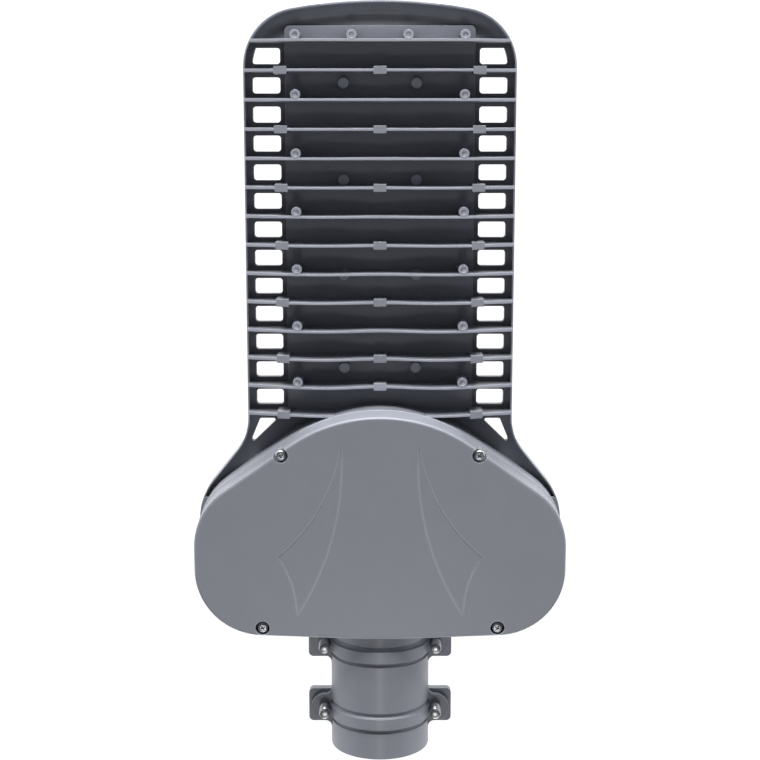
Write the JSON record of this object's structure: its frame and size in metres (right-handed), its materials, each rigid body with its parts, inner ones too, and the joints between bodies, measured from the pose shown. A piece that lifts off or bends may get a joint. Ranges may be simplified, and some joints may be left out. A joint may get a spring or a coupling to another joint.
{
  "type": "led street light head",
  "caption": "Die-cast LED street light head with cross fins, side windows, a driver tub under a bell-shaped cover and a clamped pole socket.",
  "frame": {"origin": "centre of the pole socket's mouth, on the pole's axis", "axes": "+X across the head, +Y along it towards the nose, +Z from the lit side up to the finned side; the pole leaves towards -Y"},
  "size_m": [0.2626, 0.5349, 0.0765],
  "materials": {
    "grey_paint": "light grey powder coat, satin",
    "bright_steel": "bright zinc plated or stainless",
    "seal_rubber": "matt silicone",
    "board_mask": "white solder mask on an aluminium core",
    "emitter": "yellow phosphor",
    "clear_lens": "clear moulded, polished",
    "driver_case": "drawn, satin",
    "dark_plastic": "moulded, matt",
    "pale_plastic": "moulded, matt"
  },
  "bodies": {
    "root": {"body_casting": "grey_paint", "driver_cover": "grey_paint", "clamp_saddle_front": "grey_paint", "clamp_saddle_rear": "grey_paint", "cover_gasket": "seal_rubber", "lens_gasket": "seal_rubber", "cover_screws": "bright_steel", "clamp_bolts": "bright_steel", "clamp_washers": "bright_steel", "board_screws": "bright_steel", "lens_screws": "bright_steel", "driver_screws": "bright_steel", "surge_screws": "bright_steel", "terminal_screws": "bright_steel", "terminal_clamp_screws": "bright_steel", "clip_screws": "bright_steel", "led_driver": "driver_case", "surge_protector": "dark_plastic", "cable_gland": "dark_plastic", "gland_nut": "dark_plastic", "cable_clip": "dark_plastic", "terminal_block": "pale_plastic", "lens_panel": "clear_lens", "led_board_1": "board_mask", "led_chips_1": "emitter", "led_board_2": "board_mask", "led_chips_2": "emitter", "led_board_3": "board_mask", "led_chips_3": "emitter", "led_board_4": "board_mask", "led_chips_4": "emitter"}
  },
  "joints": []
}
